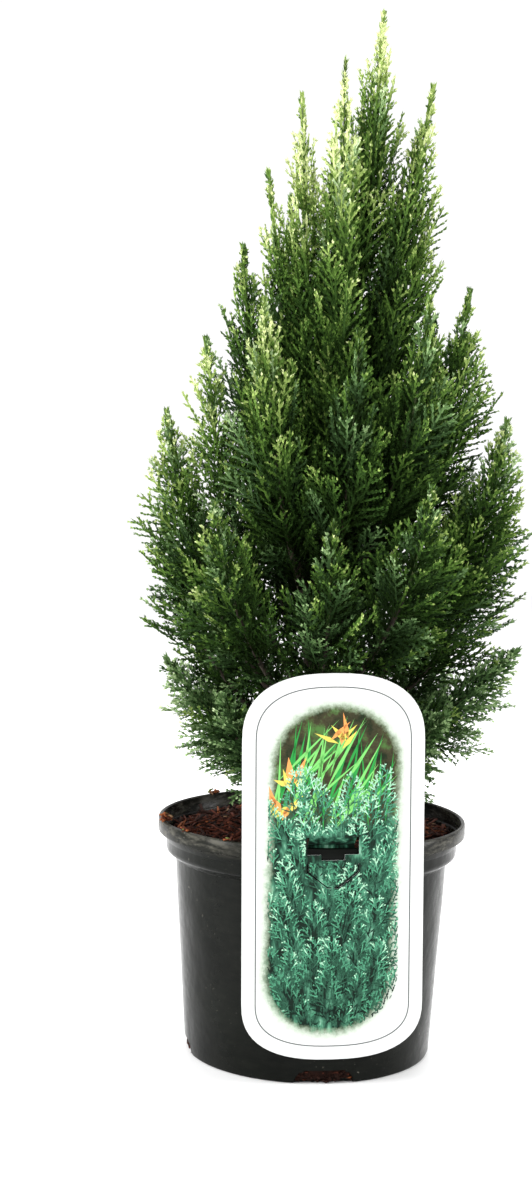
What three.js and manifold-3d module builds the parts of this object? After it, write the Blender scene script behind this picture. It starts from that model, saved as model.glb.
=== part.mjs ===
// A dwarf Lawson cypress in a nursery pot: a short trunk that runs up into the leader, ascending boughs, and
// upright plumes of flat foliage sprays round them, standing in bark compost in a stepped black plastic pot,
// with an unlettered plant card hooked over the pot's rim.
// Millimetres, +Z up, the front towards -Y. The origin is the middle of the pot's flat underside.
import * as THREE from "three";
import { mergeVertices } from "three/addons/utils/BufferGeometryUtils.js";
import Module from "manifold-3d";

const wasm = await Module();
wasm.setup();

// ---- Driving dimensions -------------------------------------------------------------------------
const GAP = 0.3; // clearance between pieces that touch
const POT = {
  rim: 65, // outer radius of the flange, so the pot is 130 across
  flangeDrop: 6,
  lip: 3, // width of the flange's flat top
  height: 99.5,
  collar: 61.5, // outer radius of the stepped collar under the flange
  collarFoot: 85,
  shoulder: 57.6, // outer radius of the body under the collar
  base: 52,
  wall: 1.3,
  floor: 1.6,
  sides: 36,
};
const DRAIN = { count: 4, foot: 27, top: 19, height: 5.8, depth: 8, first: -83 }; // notches, first in degrees
const SOIL = { top: 94, dish: 1.5, lump: 0.8, rings: 4, sides: 30 };
const CARD = {
  width: 72,
  height: 154,
  foot: 15, // height of the lower edge
  turn: 6.2, // round the pot from the front, degrees
  askew: -1, // about the hook, degrees
  thick: 0.6,
  crown: 27, // height of the arched top
  heel: 23, // height of the arched foot
  square: 2.5, // exponent of both arches
  steps: 28, // along each arch
};
const HOOK = { width: 20.6, root: 104.2, rise: 0.5, drop: 4.6, thick: 0.6 }; // tongue bent back over the rim
const SLOT = { foot: 97.2, neck: 95, neckWidth: 9.4 };
const FLAP = { width: 20.6, top: 93.8, shoulder: 90.2, point: 83.8, blunt: 2.2, kerf: 0.5 };

const TRUNK = { radius: 4.6, tip: 1.1, flare: 2.6, flareHeight: 9, lobes: 5, sides: 10, steps: 14 };
const BOUGH = { radius: 2.3, tip: 1.1, sides: 6, steps: 4 };
const STEM = { radius: 1.25, tip: 0.45, sides: 3, steps: 5 };
// A plume's half width over its length, as a share of its girth.
const OUTLINE = {
  foot: 0.6,
  widest: 0.36,
  tip: 0.1,
  taper: { leader: 0.95, shoulder: 0.8, flank: 0.75, skirt: 0.75 },
};
const CORE = { share: 0.64, slender: 0.7, from: 0.06, to: 0.93, rings: 5, sides: 5, rough: 0.25 };
const DRAW_IN = { rounds: 14, by: 0.87 }; // how a core's corners give way to its neighbours
const SPRAY = { thick: 1, tooth: 0.27, waist: 0.14, root: 0.12, spacing: 16, most: 7 };
const FITTING = { turns: 5, yield: 0.85, least: 0.5 }; // how a spray gives way to its neighbours
const LEAN = { leader: 30, shoulder: 36, flank: 42, skirt: 46 }; // of a spray from its stem, degrees
const GOLDEN_ANGLE = 137.5;
const SEED = 11;

const soilTop = SOIL.top + GAP;
const V = (x, y, z) => new THREE.Vector3(x, y, z);
const TRUNK_LINE = new THREE.CatmullRomCurve3([
  V(0, 0, soilTop),
  V(-0.5, -0.5, 130),
  V(2, 0, 180),
  V(7, 2, 240),
  V(13, 4, 300),
]);

// Each plume: name, its tip (x, y, z), its girth, and where it grows from. A plume with a bough has the
// height at which that bough leaves the trunk; the others sit on the trunk itself, at that height.
const LEADERS = [
  ["leader", 22, 5, 434, 22, 300],
  ["leader_front", 6, -15, 411, 24, 226],
  ["leader_left", -11, -3, 398, 26, 214],
  ["leader_far_left", -24, 4, 368, 25, 196],
  ["leader_right", 43, 4, 404, 31, 222],
  ["leader_back", 3, 21, 384, 25, 206],
  ["leader_back_right", 33, 21, 372, 28, 198],
  ["leader_back_left", -15, 22, 360, 24, 186],
];
const SHOULDERS = [
  ["shoulder_left", -34, 2, 337, 24, 172],
  ["shoulder_front_left", -24, -42, 313, 24, 160],
  ["shoulder_front", 13, -47, 300, 23, 152],
  ["shoulder_front_right", 41, -38, 315, 24, 164],
  ["shoulder_right", 60, -4, 320, 29, 170],
  ["shoulder_back_right", 49, 36, 312, 26, 154],
  ["shoulder_back", 8, 50, 306, 26, 176],
  ["shoulder_back_left", -26, 38, 318, 25, 150],
];
const FLANKS = [
  ["flank_spur", -48, -14, 298, 21, 140],
  ["flank_left", -64, -8, 268, 27, 128],
  ["flank_far_left", -65, 8, 222, 22, 118],
  ["flank_front_left", -42, -54, 232, 25, 134],
  ["flank_front", 4, -68, 226, 23, 122],
  ["flank_front_right", 42, -62, 240, 25, 138],
  ["flank_right", 77, -12, 272, 27, 130],
  ["flank_far_right", 78, 4, 230, 24, 119],
  ["flank_back_right", 66, 48, 238, 26, 132],
  ["flank_back", 26, 72, 228, 25, 120],
  ["flank_back_left", -20, 70, 240, 25, 136],
  ["flank_far_back_left", -54, 48, 230, 26, 124],
];
const SKIRTS = [
  ["skirt_left", -62, -8, 166, 24, 112],
  ["skirt_front_left", -38, -44, 155, 19, 108],
  ["skirt_front", 6, -52, 160, 18, 114],
  ["skirt_front_right", 52, -42, 150, 22, 107],
  ["skirt_right", 84, -4, 172, 26, 113],
  ["skirt_back_right", 60, 44, 166, 26, 109],
  ["skirt_back", 4, 64, 172, 26, 115],
  ["skirt_back_left", -50, 42, 168, 26, 106],
];

// ---- Seeded chance and solids -------------------------------------------------------------------
function chance(seed) {
  let state = seed >>> 0;
  return () => {
    state = (state + 0x6d2b79f5) >>> 0;
    let t = state;
    t = Math.imul(t ^ (t >>> 15), t | 1);
    t ^= t + Math.imul(t ^ (t >>> 7), t | 61);
    return ((t ^ (t >>> 14)) >>> 0) / 4294967296;
  };
}

function solidOf(geometry) {
  const bare = (geometry.index ? geometry.toNonIndexed() : geometry.clone()).deleteAttribute("normal");
  bare.deleteAttribute("uv");
  const merged = mergeVertices(bare, 1e-4);
  const { array } = merged.attributes.position;
  const mesh = { numProp: 3, vertProperties: array, triVerts: new Uint32Array(merged.index.array) };
  return new wasm.Manifold(new wasm.Mesh(mesh));
}

function geometryOf(solid) {
  const mesh = solid.getMesh();
  const geometry = new THREE.BufferGeometry();
  geometry.setAttribute("position", new THREE.BufferAttribute(new Float32Array(mesh.vertProperties), 3));
  geometry.setIndex(new THREE.BufferAttribute(new Uint32Array(mesh.triVerts), 1));
  const flat = geometry.toNonIndexed();
  flat.computeVertexNormals();
  return flat;
}

// Rings of points, first to last, joined by quads and closed by a fan at each end.
function ringsGeometry(rings) {
  const sides = rings[0].length;
  const points = rings.flat();
  const faces = [];
  for (let r = 0; r + 1 < rings.length; r++) {
    for (let s = 0; s < sides; s++) {
      const a = r * sides + s;
      const b = r * sides + ((s + 1) % sides);
      faces.push([a, b, b + sides], [a, b + sides, a + sides]);
    }
  }
  const last = (rings.length - 1) * sides;
  for (let s = 1; s + 1 < sides; s++) faces.push([0, s + 1, s], [last, last + s, last + s + 1]);
  const geometry = new THREE.BufferGeometry();
  const places = points.flatMap((p) => p.toArray());
  geometry.setAttribute("position", new THREE.Float32BufferAttribute(places, 3));
  geometry.setIndex(faces.flat());
  return geometry;
}

// Two directions across a curve's own direction, so that side 0 lies as level as it can.
function across(direction) {
  const side = V(0, 0, 1).cross(direction);
  if (side.lengthSq() < 1e-6) side.set(1, 0, 0);
  side.normalize();
  return [side, direction.clone().cross(side).normalize()];
}

function tube(curve, steps, sides, radiusAt) {
  const rings = [];
  for (let i = 0; i <= steps; i++) {
    const t = i / steps;
    const centre = curve.getPoint(t);
    const [u, v] = across(curve.getTangent(t));
    const ring = [];
    for (let s = 0; s < sides; s++) {
      const angle = (2 * Math.PI * s) / sides;
      const r = radiusAt(t, angle);
      const corner = centre.clone().addScaledVector(u, r * Math.cos(angle));
      ring.push(corner.addScaledVector(v, r * Math.sin(angle)));
    }
    rings.push(ring);
  }
  return ringsGeometry(rings);
}

// ---- Pot, compost and card ----------------------------------------------------------------------
function potSolid() {
  const { rim, lip, height, collar, collarFoot, shoulder, base, wall, floor, flangeDrop } = POT;
  const step = 2; // height and width of the soft step under the collar
  const edge = 0.8; // chamfer of the flange
  const profile = [
    [0, 0],
    [base - 1.5, 0],
    [base, 1.5],
    [shoulder, collarFoot - step],
    [collar - step * 0.4, collarFoot],
    [collar, collarFoot + step],
    [collar, height - flangeDrop],
    [rim, height - flangeDrop],
    [rim, height - edge],
    [rim - edge, height],
    [rim - lip, height],
    [rim - lip - 0.3, height - flangeDrop],
    [collar - wall, collarFoot + step],
    [shoulder - wall, collarFoot - step],
    [base - wall, floor],
    [0, floor],
  ];
  const lathe = new THREE.LatheGeometry(profile.map(([r, z]) => new THREE.Vector2(r, z)), POT.sides);
  let pot = solidOf(lathe.rotateX(Math.PI / 2));
  const narrow = DRAIN.top / 2;
  const wide = DRAIN.foot - narrow; // half the cutter's width as far under the foot as the notch is high
  const corners = [[-wide, -DRAIN.height], [wide, -DRAIN.height], [narrow, DRAIN.height], [-narrow, DRAIN.height]];
  const outline = corners.map(([x, z]) => new THREE.Vector2(x, z));
  const notch = plate(outline, -base - DRAIN.depth / 2, DRAIN.depth); // at the front, which is -90 degrees
  for (let i = 0; i < DRAIN.count; i++) {
    pot = pot.subtract(notch.rotate([0, 0, DRAIN.first + 90 + (360 / DRAIN.count) * i]));
  }
  return pot;
}

function innerRadius(z) {
  const low = POT.floor;
  const high = POT.collarFoot - 2;
  if (z <= high) return THREE.MathUtils.mapLinear(z, low, high, POT.base, POT.shoulder) - POT.wall;
  return POT.collar - POT.wall;
}

function soilSolid() {
  const random = chance(SEED);
  const edge = SOIL.top - SOIL.dish;
  const levels = [POT.floor + GAP, POT.collarFoot - 2, POT.collarFoot + 2, edge];
  const slack = GAP + 0.15; // the pot's wall is faceted, so its flats lie a little inside its radius
  const rings = levels.map((z) => ringAt(SOIL.sides, innerRadius(z) - slack, () => z));
  for (let k = 1; k < SOIL.rings; k++) {
    const share = 1 - k / SOIL.rings;
    const flat = share < 0.3; // level ground round the trunk's foot
    const z = () => (flat ? SOIL.top : THREE.MathUtils.lerp(SOIL.top, edge, share) - SOIL.lump * random());
    rings.push(ringAt(SOIL.sides, (innerRadius(edge) - slack) * share, z));
  }
  return solidOf(ringsGeometry(rings));
}

function ringAt(sides, radius, heightOf) {
  const ring = [];
  for (let s = 0; s < sides; s++) {
    const angle = (2 * Math.PI * s) / sides;
    ring.push(V(radius * Math.cos(angle), radius * Math.sin(angle), heightOf()));
  }
  return ring;
}

// Half of a superellipse, from the right to the left over the top for a positive rise.
function arch(halfWidth, rise, level) {
  const points = [];
  for (let i = 0; i <= CARD.steps; i++) {
    const angle = (Math.PI * i) / CARD.steps;
    const power = 2 / CARD.square;
    const x = Math.sign(Math.cos(angle)) * Math.abs(Math.cos(angle)) ** power;
    points.push(new THREE.Vector2(halfWidth * x, level + rise * Math.sin(angle) ** power));
  }
  return points;
}

// A flat outline in x and z, as a plate from y0 back to y0 + depth.
function plate(outline, y0, depth) {
  const flat = new THREE.ExtrudeGeometry(new THREE.Shape(outline), { depth, bevelEnabled: false });
  return solidOf(flat.rotateX(Math.PI / 2).translate(0, y0 + depth, 0));
}

const cardBack = -(POT.rim + GAP); // the card's back face, just in front of the flange
const cardFront = cardBack - CARD.thick;

function cardSolid() {
  const half = CARD.width / 2;
  const top = CARD.foot + CARD.height;
  const outline = [
    ...arch(half, CARD.crown, top - CARD.crown),
    ...arch(half, -CARD.heel, CARD.foot + CARD.heel).reverse(),
  ];
  const P = (x, z) => new THREE.Vector2(x, z);
  const w = HOOK.width / 2;
  const neck = SLOT.neckWidth / 2;
  const window = [
    P(-w, HOOK.root),
    P(-w, SLOT.foot),
    P(-neck, SLOT.foot),
    P(-neck, SLOT.neck),
    P(neck, SLOT.neck),
    P(neck, SLOT.foot),
    P(w, SLOT.foot),
    P(w, HOOK.root),
  ];
  const through = CARD.thick + 2;
  let card = plate(outline, cardFront, CARD.thick).subtract(plate(window, cardFront - 1, through));
  for (const side of [-1, 1]) {
    const k = FLAP.kerf;
    const f = FLAP.width / 2;
    const cut = [
      P(side * f, FLAP.top),
      P(side * f, FLAP.shoulder),
      P(side * FLAP.blunt, FLAP.point),
      P(side * k, FLAP.point),
      P(side * k, FLAP.point + k),
      P(side * FLAP.blunt, FLAP.point + k * 1.2),
      P(side * (f - k), FLAP.shoulder + k * 0.5),
      P(side * (f - k), FLAP.top),
    ];
    card = card.subtract(plate(side < 0 ? cut.reverse() : cut, cardFront - 1, through));
  }
  // The tongue: from its root it slopes back over the rim, then hangs down inside the pot.
  const inside = GAP + 0.2 - Math.sqrt((POT.rim - POT.lip - 0.3) ** 2 - (HOOK.width / 2 - 1) ** 2);
  const over = POT.height + HOOK.rise;
  const t = HOOK.thick;
  const bend = [
    [cardFront, HOOK.root],
    [cardBack, HOOK.root - 0.4],
    [inside, over],
    [inside, over - HOOK.drop],
    [inside + t, over - HOOK.drop],
    [inside + t, over + t],
    [cardFront + 0.2, HOOK.root + t],
  ];
  const side = new THREE.Shape(bend.map(([y, z]) => new THREE.Vector2(y, z)));
  const tongue = new THREE.ExtrudeGeometry(side, { depth: HOOK.width - 2, bevelEnabled: false });
  // The shape's x and y become the part's y and z.
  tongue.applyMatrix4(new THREE.Matrix4().makeBasis(V(0, 1, 0), V(0, 0, 1), V(1, 0, 0)));
  card = card.add(solidOf(tongue.translate(1 - HOOK.width / 2, 0, 0)));
  const pivot = POT.height;
  card = card.translate([0, 0, -pivot]).rotate([0, CARD.askew, 0]).translate([0, 0, pivot]);
  return card.rotate([0, 0, CARD.turn]);
}

// ---- Limbs --------------------------------------------------------------------------------------
function trunkRadius(t, angle = 0) {
  const height = t * (TRUNK_LINE.getPoint(1).z - soilTop);
  const flare = TRUNK.flare * Math.exp(-height / TRUNK.flareHeight);
  const lobes = 0.7 + 0.3 * Math.cos(TRUNK.lobes * angle);
  return THREE.MathUtils.lerp(TRUNK.radius, TRUNK.tip, t ** 0.8) + flare * lobes;
}

// Where the trunk's middle line is at a height.
function trunkAt(z) {
  let low = 0;
  let high = 1;
  for (let i = 0; i < 30; i++) {
    const mid = (low + high) / 2;
    if (TRUNK_LINE.getPoint(mid).z < z) low = mid;
    else high = mid;
  }
  return { point: TRUNK_LINE.getPoint(low), radius: trunkRadius(low), t: low };
}

const trunkGeometry = tube(TRUNK_LINE, TRUNK.steps, TRUNK.sides, trunkRadius);
const trunkSolid = solidOf(trunkGeometry);
const boughRadius = (t) => THREE.MathUtils.lerp(BOUGH.radius, BOUGH.tip, t);
const boughGeometry = (line) => tube(line, BOUGH.steps, BOUGH.sides, boughRadius);
const stemRadius = (t) => THREE.MathUtils.lerp(STEM.radius, STEM.tip, t);
const stemGeometry = (line) => tube(line, STEM.steps, STEM.sides, stemRadius);

// The line whose limb, brought in along a direction from well outside the trunk, ends up GAP clear of it.
function seated(lineAt, geometryFor) {
  let offset = TRUNK.radius + 6;
  for (let i = 0; i < 6; i++) offset -= trunkSolid.minGap(solidOf(geometryFor(lineAt(offset))), 20) - GAP;
  return lineAt(offset);
}

// A plume's stem runs from its foot to its tip, out first and then up. A bough brings it from the trunk.
function plumeOf([name, x, y, z, girth, fork], tier) {
  const tip = V(x, y, z);
  const start = trunkAt(fork);
  const level = tip.clone().sub(start.point).setZ(0);
  const out = level.clone().normalize();
  const plume = { name, tip, girth, tier };
  if (name === "leader") {
    const top = TRUNK_LINE.getTangent(1);
    const foot = TRUNK_LINE.getPoint(1).addScaledVector(top, GAP);
    const bend = foot.clone().addScaledVector(top, 0.4 * (z - foot.z));
    plume.line = new THREE.QuadraticBezierCurve3(foot, bend, tip);
  } else if (tier === "leader" || tier === "skirt") {
    const spread = tier === "leader" ? 0.45 : 0.5;
    const stemAt = (offset) => {
      const foot = start.point.clone().addScaledVector(out, offset);
      const bend = foot.clone().addScaledVector(level, spread).setZ(THREE.MathUtils.lerp(fork, z, 0.35));
      return new THREE.QuadraticBezierCurve3(foot, bend, tip);
    };
    plume.line = seated(stemAt, stemGeometry);
  } else {
    const share = 0.36;
    const rise = tier === "shoulder" ? 0.26 : 0.22;
    const foot = start.point.clone().addScaledVector(level, share).setZ(THREE.MathUtils.lerp(fork, z, rise));
    const bend = foot.clone().addScaledVector(level, 0.52).setZ(THREE.MathUtils.lerp(foot.z, z, 0.4));
    const heading = bend.clone().sub(foot).normalize();
    const end = foot.clone().addScaledVector(heading, -GAP);
    const boughAt = (offset) => {
      const root = start.point.clone().addScaledVector(out, offset);
      const sweep = end.clone().addScaledVector(heading, -0.45 * end.distanceTo(root));
      return new THREE.QuadraticBezierCurve3(root, sweep, end);
    };
    plume.line = new THREE.QuadraticBezierCurve3(foot, bend, tip);
    plume.bough = seated(boughAt, boughGeometry);
  }
  plume.length = plume.line.getLength();
  plume.samples = plume.line.getPoints(24);
  return plume;
}

// A plume's outline: quickly wide, widest a third of the way up, then drawn out to its tip.
function halfWidth(plume, t) {
  const { foot, widest, tip, taper } = OUTLINE;
  const rising = Math.sin((Math.PI / 2) * (t / widest));
  if (t < widest) return plume.girth * THREE.MathUtils.lerp(foot, 1, rising);
  const left = (1 - t) / (1 - widest);
  return plume.girth * (tip + (1 - tip) * left ** taper[plume.tier]);
}

const plumes = [
  ...LEADERS.map((row) => plumeOf(row, "leader")),
  ...SHOULDERS.map((row) => plumeOf(row, "shoulder")),
  ...FLANKS.map((row) => plumeOf(row, "flank")),
  ...SKIRTS.map((row) => plumeOf(row, "skirt")),
];

const limbs = [{ line: TRUNK_LINE, radiusAt: trunkRadius, samples: TRUNK_LINE.getPoints(60) }];
for (const plume of plumes) {
  if (!plume.bough) continue;
  limbs.push({ line: plume.bough, radiusAt: boughRadius, samples: plume.bough.getPoints(16) });
}

// ---- Each plume's own space ---------------------------------------------------------------------
function nearest(samples, point) {
  let best = Infinity;
  let at = 0;
  for (let i = 0; i < samples.length; i++) {
    const d = samples[i].distanceToSquared(point);
    if (d < best) {
      best = d;
      at = i;
    }
  }
  return { distance: Math.sqrt(best), t: at / (samples.length - 1) };
}

// How far out a point lies in a plume: 0 on its stem and 1 on its outline.
function reachIn(plume, point) {
  const { distance, t } = nearest(plume.samples, point);
  return distance / Math.max(halfWidth(plume, t), 0.3 * plume.girth);
}

const CARD_ZONE = { y: cardBack + 2.5, half: CARD.width / 2 + 3, top: CARD.foot + CARD.height + 3 };
function isFree(plume, point, margin) {
  if (point.z < SOIL.top + 3) return false;
  if (point.z < POT.height + 2 && Math.hypot(point.x, point.y) > POT.collar - POT.wall - 3) return false;
  const faced = point.clone().applyAxisAngle(V(0, 0, 1), -THREE.MathUtils.degToRad(CARD.turn));
  if (Math.abs(faced.x) < CARD_ZONE.half && faced.z < CARD_ZONE.top && faced.y < CARD_ZONE.y) return false;
  for (const limb of limbs) {
    const { distance, t } = nearest(limb.samples, point);
    if (distance < limb.radiusAt(t) + 1.2) return false;
  }
  const own = reachIn(plume, point);
  for (const other of plumes) {
    if (other === plume || other.samples[0].distanceTo(point) > other.length + 40) continue;
    if (reachIn(other, point) < own + margin) return false;
  }
  return true;
}

// ---- Foliage masses -----------------------------------------------------------------------------
// The core's rings, drawn in wherever a corner or the middle of an edge would leave the plume's own space.
function coreGeometry(plume, share) {
  const random = chance(Math.round(plume.length * 100));
  const { rings: count, sides } = CORE;
  const centres = [];
  const spokes = [];
  const radii = [];
  for (let i = 0; i < count; i++) {
    const t = THREE.MathUtils.lerp(CORE.from, CORE.to, i / (count - 1));
    const [u, v] = across(plume.line.getTangent(t));
    for (let s = 0; s < sides; s++) {
      const angle = (2 * Math.PI * (s + (i % 2) / 2)) / sides;
      centres.push(plume.line.getPoint(t));
      spokes.push(u.clone().multiplyScalar(Math.cos(angle)).addScaledVector(v, Math.sin(angle)));
      radii.push(halfWidth(plume, t) * share * (1 + CORE.rough * (random() - 0.5)));
    }
  }
  const corner = (k) => centres[k].clone().addScaledVector(spokes[k], radii[k]);
  const edges = [];
  for (let k = 0; k < radii.length; k++) {
    const ring = k - (k % sides);
    const beside = ring + ((k + 1) % sides);
    edges.push([k, k], [k, beside]);
    if (ring + sides < radii.length) edges.push([k, k + sides], [k, beside + sides]);
  }
  for (let round = 0; round < DRAW_IN.rounds; round++) {
    const tight = new Set();
    for (const [a, b] of edges) {
      if (!isFree(plume, corner(a).lerp(corner(b), 0.5), 0.1)) tight.add(a).add(b);
    }
    if (tight.size === 0) break;
    for (const k of tight) radii[k] = Math.max(radii[k] * DRAW_IN.by, STEM.tip);
  }
  const corners = radii.map((_, k) => corner(k));
  return ringsGeometry(Array.from({ length: count }, (_, i) => corners.slice(i * sides, (i + 1) * sides)));
}

// A flat spray with a tooth on each side, its root at the origin and its tip along x.
function sprayGeometry(length) {
  const { tooth, waist, root } = SPRAY;
  const half = [
    [0, root],
    [0.62, tooth],
    [0.7, waist],
  ];
  const outline = [...half, [1, 0], ...half.map(([x, y]) => [x, -y]).reverse()];
  const shape = new THREE.Shape(outline.map(([x, y]) => new THREE.Vector2(x * length, y * length)));
  const blade = new THREE.ExtrudeGeometry(shape, { depth: SPRAY.thick, bevelEnabled: false });
  return blade.translate(0, 0, -SPRAY.thick / 2);
}

// Points of a spray that must lie in the plume's own space: its tip, its teeth and its middle.
function sprayIsFree(plume, root, along, wide, length) {
  const { tooth, waist } = SPRAY;
  const tests = [[1, 0], [0.62, tooth], [0.62, -tooth], [0.35, 0], [0.7, 0]];
  return tests.every(([x, y]) => {
    const point = root.clone().addScaledVector(along, x * length).addScaledVector(wide, y * length);
    return isFree(plume, point, 0.1);
  });
}

const clear = (solid, others) => others.every((other) => solid.minGap(other, 2 * GAP) >= 0.9 * GAP);

// The stem with as full a core as its neighbours leave room for.
function heartOf(plume, others) {
  const stem = solidOf(stemGeometry(plume.line));
  if (!clear(stem, others)) throw new Error(`the stem of ${plume.name} touches a neighbour`);
  const fullest = plume.tier === "leader" ? CORE.slender : CORE.share;
  for (let share = fullest; share > 0.15; share *= 0.8) {
    const heart = stem.add(solidOf(coreGeometry(plume, share)));
    if (clear(heart, others)) return heart;
  }
  return stem;
}

// A spray's place and turn. The turns go round the stem by the golden angle, and step on where
// there is no room.
function sprayFrame(plume, t, turn, roll) {
  const axis = plume.line.getTangent(t);
  const [u, v] = across(axis);
  const lean = THREE.MathUtils.degToRad(LEAN[plume.tier] * (1.15 - 0.5 * t));
  const side = u.multiplyScalar(Math.cos(turn)).addScaledVector(v, Math.sin(turn));
  const along = axis.clone().multiplyScalar(Math.cos(lean)).addScaledVector(side, Math.sin(lean));
  const wide = axis.clone().cross(side).applyAxisAngle(along, roll).normalize();
  const reach = halfWidth(plume, t) / Math.sin(lean);
  const longest = Math.min(reach, (1.1 * (1 - t) * plume.length) / Math.cos(lean));
  return { root: plume.line.getPoint(t), along, wide, longest };
}

function growSpray(plume, frame, stretch, others) {
  const { root, along, wide, longest } = frame;
  for (let length = longest * stretch; length > FITTING.least * longest; length *= FITTING.yield) {
    if (!sprayIsFree(plume, root, along, wide, length)) continue;
    const place = new THREE.Matrix4().makeBasis(along, wide, along.clone().cross(wide)).setPosition(root);
    const spray = solidOf(sprayGeometry(length).applyMatrix4(place));
    if (clear(spray, others)) return spray;
  }
  return null;
}

function plumeSolid(plume, index, others) {
  const random = chance(SEED * 1000 + index);
  let solid = heartOf(plume, others);
  const count = Math.min(Math.round(plume.length / SPRAY.spacing) + 1, SPRAY.most);
  for (let k = 0; k < count; k++) {
    const t = THREE.MathUtils.lerp(0.1, 0.88, k / (count - 1));
    const turn = THREE.MathUtils.degToRad(GOLDEN_ANGLE * k + 40 * random());
    const roll = (random() - 0.5) * Math.PI;
    const stretch = 0.95 + 0.2 * random();
    let spray = null;
    for (let step = 0; step < FITTING.turns && !spray; step++) {
      const frame = sprayFrame(plume, t, turn + (2 * Math.PI * step) / FITTING.turns, roll);
      spray = growSpray(plume, frame, stretch, others);
    }
    if (spray) solid = solid.add(spray);
  }
  return solid.decompose().sort((a, b) => b.volume() - a.volume())[0]; // without any sealed hollow
}

// ---- The plant ----------------------------------------------------------------------------------
const group = new THREE.Group();
function addNode(name, geometry, color, roughness) {
  const mesh = new THREE.Mesh(geometry, new THREE.MeshStandardMaterial({ color, roughness, metalness: 0 }));
  mesh.name = name;
  group.add(mesh);
}

addNode("pot", geometryOf(potSolid()), 0x1c1c1d, 0.45);
addNode("compost", geometryOf(soilSolid()), 0x3b1d12, 0.95);
addNode("plant_card", geometryOf(cardSolid()), 0xf4f5f0, 0.3);
const boughs = plumes.map((plume) => plume.bough && boughGeometry(plume.bough));
const placed = [trunkGeometry, ...boughs.filter(Boolean)].map(solidOf);
addNode("trunk", trunkGeometry, 0x5d4030, 0.9);
plumes.forEach((plume, index) => {
  if (boughs[index]) addNode(`bough_${plume.name}`, boughs[index], 0x64452f, 0.9);
  const solid = plumeSolid(plume, index, placed);
  placed.push(solid);
  addNode(`foliage_${plume.name}`, geometryOf(solid), 0x3d7034, 0.7);
});

export default group;
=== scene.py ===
"""A dwarf Lawson cypress in a black nursery pot with a hanging plant card: looks, light and camera.

Sizes in the tables are millimetres and angles are degrees, as on the CAD side, unless a line says otherwise.
Everything goes to Blender in metres.
"""
from functools import partialmethod
from math import copysign, cos, pi, radians, sin, sqrt, tan
from types import SimpleNamespace as Sizes

import bmesh
import bpy
import numpy as np
from mathutils import Matrix, Vector


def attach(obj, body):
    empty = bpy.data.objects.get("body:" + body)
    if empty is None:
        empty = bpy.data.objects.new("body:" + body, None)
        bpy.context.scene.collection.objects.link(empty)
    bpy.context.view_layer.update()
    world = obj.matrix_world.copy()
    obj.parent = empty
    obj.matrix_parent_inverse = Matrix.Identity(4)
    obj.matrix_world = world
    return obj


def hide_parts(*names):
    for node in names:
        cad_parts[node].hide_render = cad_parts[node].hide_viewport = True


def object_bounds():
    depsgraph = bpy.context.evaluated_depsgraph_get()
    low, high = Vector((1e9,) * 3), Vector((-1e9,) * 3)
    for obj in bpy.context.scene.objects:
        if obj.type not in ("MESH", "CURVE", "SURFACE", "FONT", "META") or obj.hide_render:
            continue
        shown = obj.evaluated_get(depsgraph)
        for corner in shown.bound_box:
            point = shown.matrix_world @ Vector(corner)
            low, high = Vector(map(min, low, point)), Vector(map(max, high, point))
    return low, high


MM = 0.001
SEED = 23
GOLDEN_ANGLE = radians(137.5)

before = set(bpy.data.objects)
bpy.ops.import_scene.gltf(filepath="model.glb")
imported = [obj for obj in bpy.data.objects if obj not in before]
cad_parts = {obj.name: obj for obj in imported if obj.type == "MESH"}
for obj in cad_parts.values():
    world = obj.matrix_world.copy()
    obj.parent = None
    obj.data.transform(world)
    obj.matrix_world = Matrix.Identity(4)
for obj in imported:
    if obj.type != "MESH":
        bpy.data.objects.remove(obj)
cad_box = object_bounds()
MASSES = sorted(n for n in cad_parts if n.startswith("foliage_"))
BOUGHS = sorted(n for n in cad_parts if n.startswith("bough_"))

# ---- Driving dimensions: the solids' own, but for a few that differ from them ----
SOIL_TOP = 94.0
GAP = 0.3
PAST_BOX = 3.0  # how far the sprays may go past the solids' box
POT = Sizes(rim=65.0, flange_drop=6.0, lip=1.8, height=99.5, collar=61.5, collar_foot=85.0,
            shoulder=57.6, base=52.0, wall=1.3, floor=1.6)
DRAIN = Sizes(count=4, foot=27.0, top=19.0, height=5.8, depth=8.0, first=-83.0, bevel=1.2)
CARD = Sizes(width=72.0, height=154.0, foot=15.0, turn=6.2, askew=-1.0, thick=0.6, crown=27.0, heel=23.0,
             square=2.5)
CARD_BACK = -(POT.rim + GAP)
TRUNK = Sizes(radius=4.6, tip=1.1, flare=2.6, flare_height=9.0, lobes=5)
TRUNK_KNOTS = [(0, 0, SOIL_TOP + GAP), (-0.5, -0.5, 130), (2, 0, 180), (7, 2, 240), (13, 4, 300)]
BOUGH = Sizes(radius=2.3, tip=1.1)
STEM = Sizes(radius=1.25, tip=0.22)
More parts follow.
